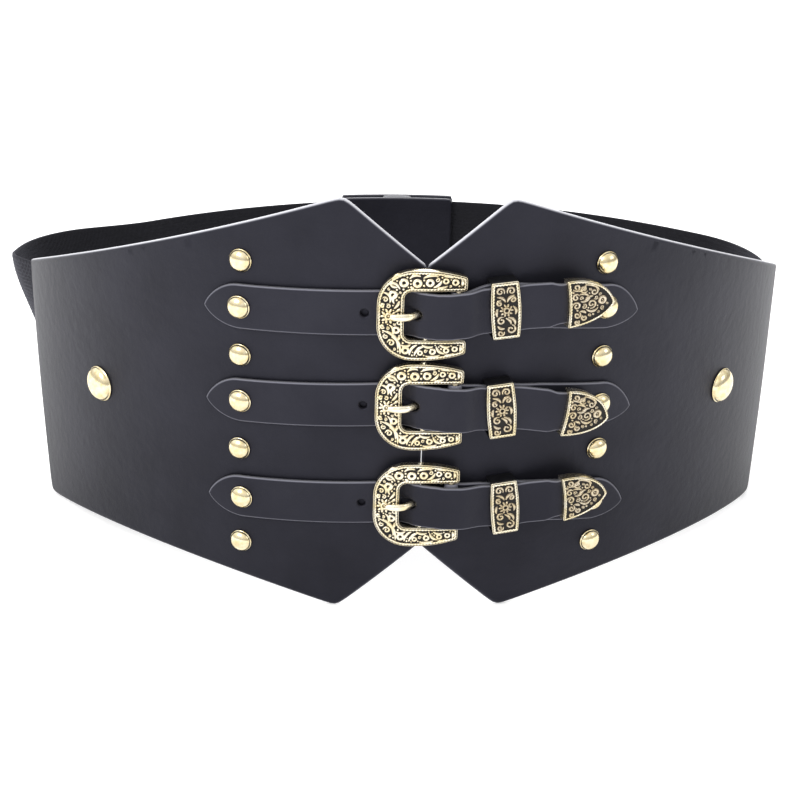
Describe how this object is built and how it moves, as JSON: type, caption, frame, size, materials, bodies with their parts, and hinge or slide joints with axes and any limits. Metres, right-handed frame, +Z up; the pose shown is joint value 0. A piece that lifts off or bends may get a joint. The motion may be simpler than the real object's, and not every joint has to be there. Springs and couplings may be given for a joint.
{
  "type": "corset belt",
  "caption": "Wide waist-cinching belt: pointed black leather front panels joined by buckled straps with cast gold fittings and domed studs, on elastic side bands with a leather back tab.",
  "frame": {"origin": "middle of the belt's footprint on the surface that it stands on", "axes": "+Z up, -Y out of the buckled front, +X towards the viewer's right of the front"},
  "size_m": [0.3196, 0.2188, 0.1594],
  "materials": {
    "panel_leather": "smooth black leather with a satin sheen",
    "strap_leather": "smooth black strap leather, satin, with burnished edges",
    "elastic": "matt black ribbed elastic webbing",
    "antique_gold": "cast pale gold with blackened recesses",
    "stud_gold": "polished pale gold"
  },
  "bodies": {
    "root": {"panel_left": "panel_leather", "elastic_left": "elastic", "panel_right": "panel_leather", "elastic_right": "elastic", "back_panel": "panel_leather", "tip_strap_top": "strap_leather", "buckle_strap_top": "strap_leather", "buckle_frame_top": "antique_gold", "prong_top": "antique_gold", "keeper_top": "antique_gold", "strap_tip_top": "antique_gold", "tip_strap_middle": "strap_leather", "buckle_strap_middle": "strap_leather", "buckle_frame_middle": "antique_gold", "prong_middle": "antique_gold", "keeper_middle": "antique_gold", "strap_tip_middle": "antique_gold", "tip_strap_bottom": "strap_leather", "buckle_strap_bottom": "strap_leather", "buckle_frame_bottom": "antique_gold", "prong_bottom": "antique_gold", "keeper_bottom": "antique_gold", "strap_tip_bottom": "antique_gold", "stud_left_1": "stud_gold", "stud_left_2": "stud_gold", "stud_left_3": "stud_gold", "stud_left_4": "stud_gold", "stud_left_5": "stud_gold", "stud_left_6": "stud_gold", "stud_left_7": "stud_gold", "side_stud_left": "stud_gold", "stud_right_1": "stud_gold", "stud_right_2": "stud_gold", "stud_right_3": "stud_gold", "stud_right_4": "stud_gold", "stud_right_5": "stud_gold", "stud_right_6": "stud_gold", "stud_right_7": "stud_gold", "side_stud_right": "stud_gold"}
  },
  "joints": []
}
